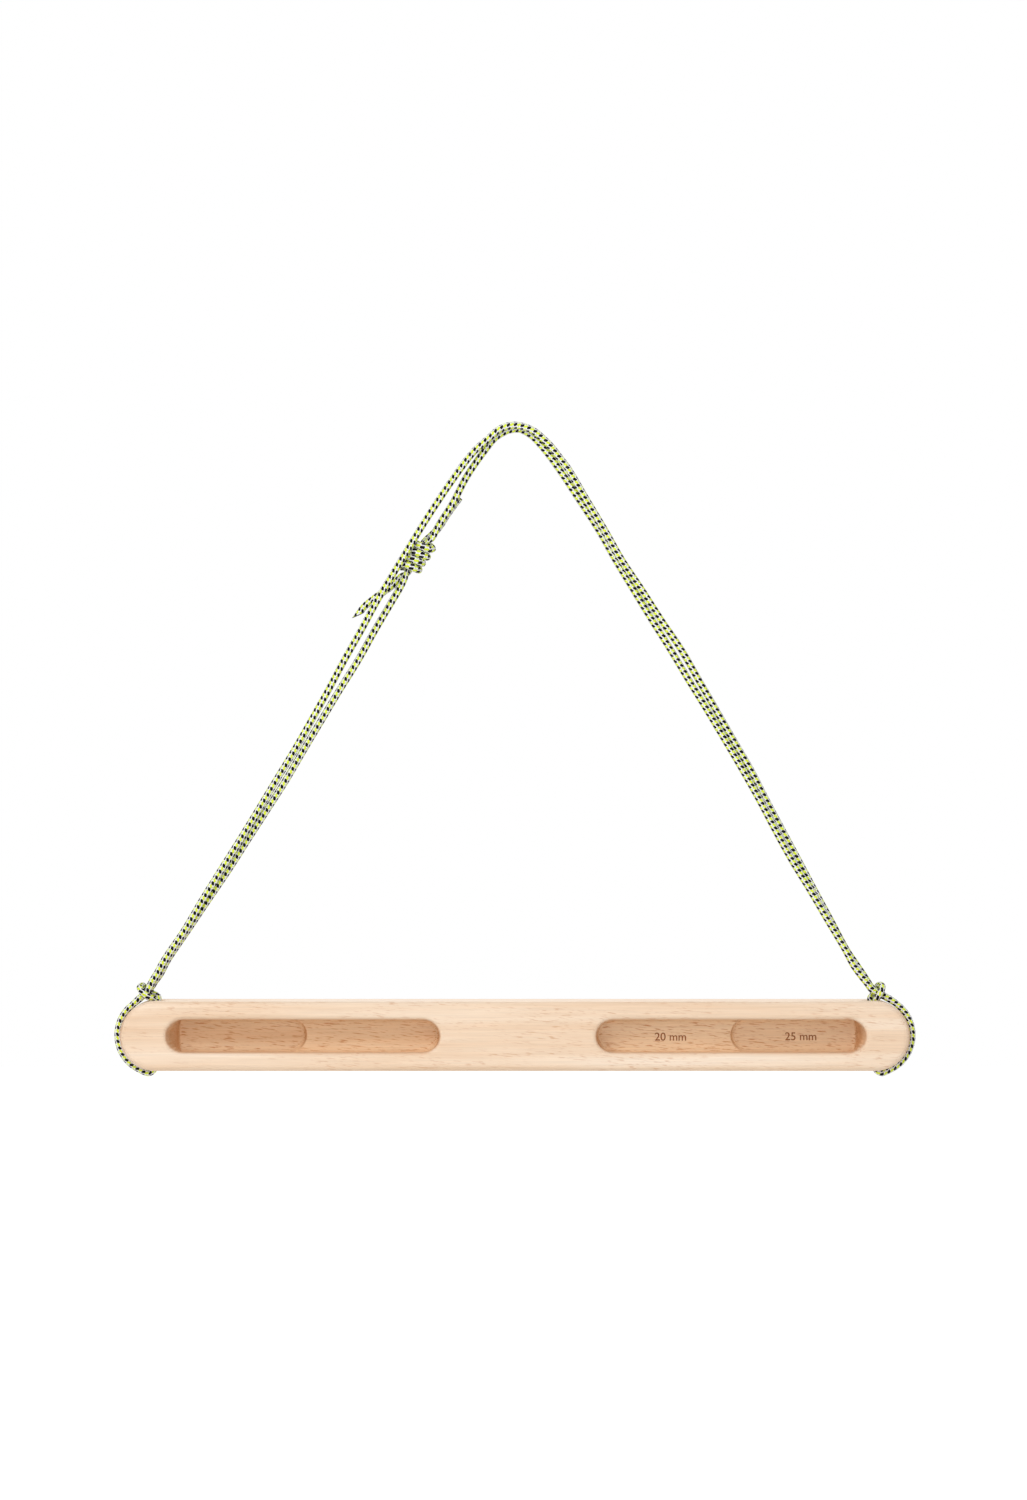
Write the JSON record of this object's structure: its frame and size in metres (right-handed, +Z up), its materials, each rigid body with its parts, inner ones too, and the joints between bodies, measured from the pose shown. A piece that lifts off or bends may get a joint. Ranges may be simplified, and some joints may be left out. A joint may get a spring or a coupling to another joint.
{
  "type": "portable hangboard",
  "caption": "Round ended hardwood bar with stepped finger pockets on both faces, hung on a doubled cord tied with a double fisherman's knot.",
  "frame": {"origin": "underside of the cord's top bend, where a hook or branch carries it", "axes": "+X along the bar, -Y towards the front face with the deeper pockets, +Z up"},
  "size_m": [0.5186, 0.045, 0.4241],
  "materials": {
    "rubberwood": "sanded, unvarnished",
    "polyester_cord": "braided sheath, pale with black and neon yellow flecks"
  },
  "bodies": {
    "sling": {"outer_strand": "polyester_cord", "knotted_strand_upper": "polyester_cord", "knotted_strand_lower": "polyester_cord"},
    "board": {"wooden_bar": "rubberwood", "left_hitch": "polyester_cord", "right_hitch": "polyester_cord"}
  },
  "joints": [
    {"name": "board_swing", "type": "hinge", "parent": "sling", "child": "board", "pos_m": [0, 0, -0.351], "axis": [1, 0, 0], "range_deg": [-90, 90]}
  ]
}
